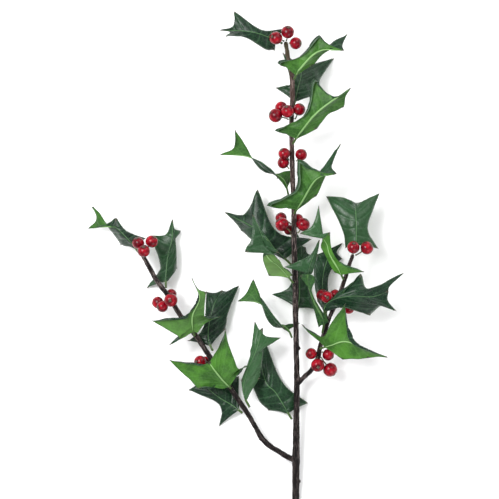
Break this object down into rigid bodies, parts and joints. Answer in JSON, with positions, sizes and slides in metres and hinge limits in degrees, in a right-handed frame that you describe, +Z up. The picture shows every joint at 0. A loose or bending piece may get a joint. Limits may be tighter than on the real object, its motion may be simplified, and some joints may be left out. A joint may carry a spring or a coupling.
{
  "type": "holly sprig",
  "caption": "Cut sprig of horned holly with glossy spined leaves and red berries on a forked woody stem, lying down.",
  "frame": {"origin": "on the surface the sprig lies on, under the middle of its bounding box", "axes": "+Y along the main stem from the cut end towards the tip, +Z up from the surface, +X to the sprig's right seen from above"},
  "size_m": [0.2528, 0.4028, 0.0624],
  "materials": {
    "bark": "rough, streaked bark",
    "leaf": "waxy leaf, glossy above and paler and duller beneath",
    "berry": "glossy berry skin"
  },
  "bodies": {
    "root": {"stem": "bark", "main_leaf_1": "leaf", "main_leaf_2": "leaf", "main_leaf_3": "leaf", "main_leaf_4": "leaf", "main_leaf_5": "leaf", "main_leaf_6": "leaf", "main_leaf_7": "leaf", "main_leaf_8": "leaf", "main_leaf_9": "leaf", "main_leaf_10": "leaf", "main_leaf_11": "leaf", "right_leaf_1": "leaf", "right_leaf_2": "leaf", "right_leaf_3": "leaf", "right_leaf_4": "leaf", "right_leaf_5": "leaf", "right_leaf_6": "leaf", "left_leaf_1": "leaf", "left_leaf_2": "leaf", "left_leaf_3": "leaf", "left_leaf_4": "leaf", "left_leaf_5": "leaf", "left_leaf_6": "leaf", "left_leaf_7": "leaf", "top_berry_1": "berry", "top_berry_2": "berry", "top_berry_3": "berry", "main_berry_1": "berry", "main_berry_2": "berry", "main_berry_3": "berry", "main_berry_4": "berry", "main_berry_5": "berry", "main_berry_6": "berry", "main_berry_7": "berry", "main_berry_8": "berry", "main_berry_9": "berry", "main_berry_10": "berry", "main_berry_11": "berry", "main_berry_12": "berry", "right_berry_1": "berry", "right_berry_2": "berry", "right_berry_3": "berry", "right_berry_4": "berry", "right_berry_5": "berry", "right_berry_6": "berry", "right_berry_7": "berry", "right_berry_8": "berry", "right_berry_9": "berry", "right_berry_10": "berry", "left_berry_1": "berry", "left_berry_2": "berry", "left_berry_3": "berry", "left_berry_4": "berry", "left_berry_5": "berry", "left_berry_6": "berry", "left_berry_7": "berry", "left_berry_8": "berry", "left_berry_9": "berry"}
  },
  "joints": []
}
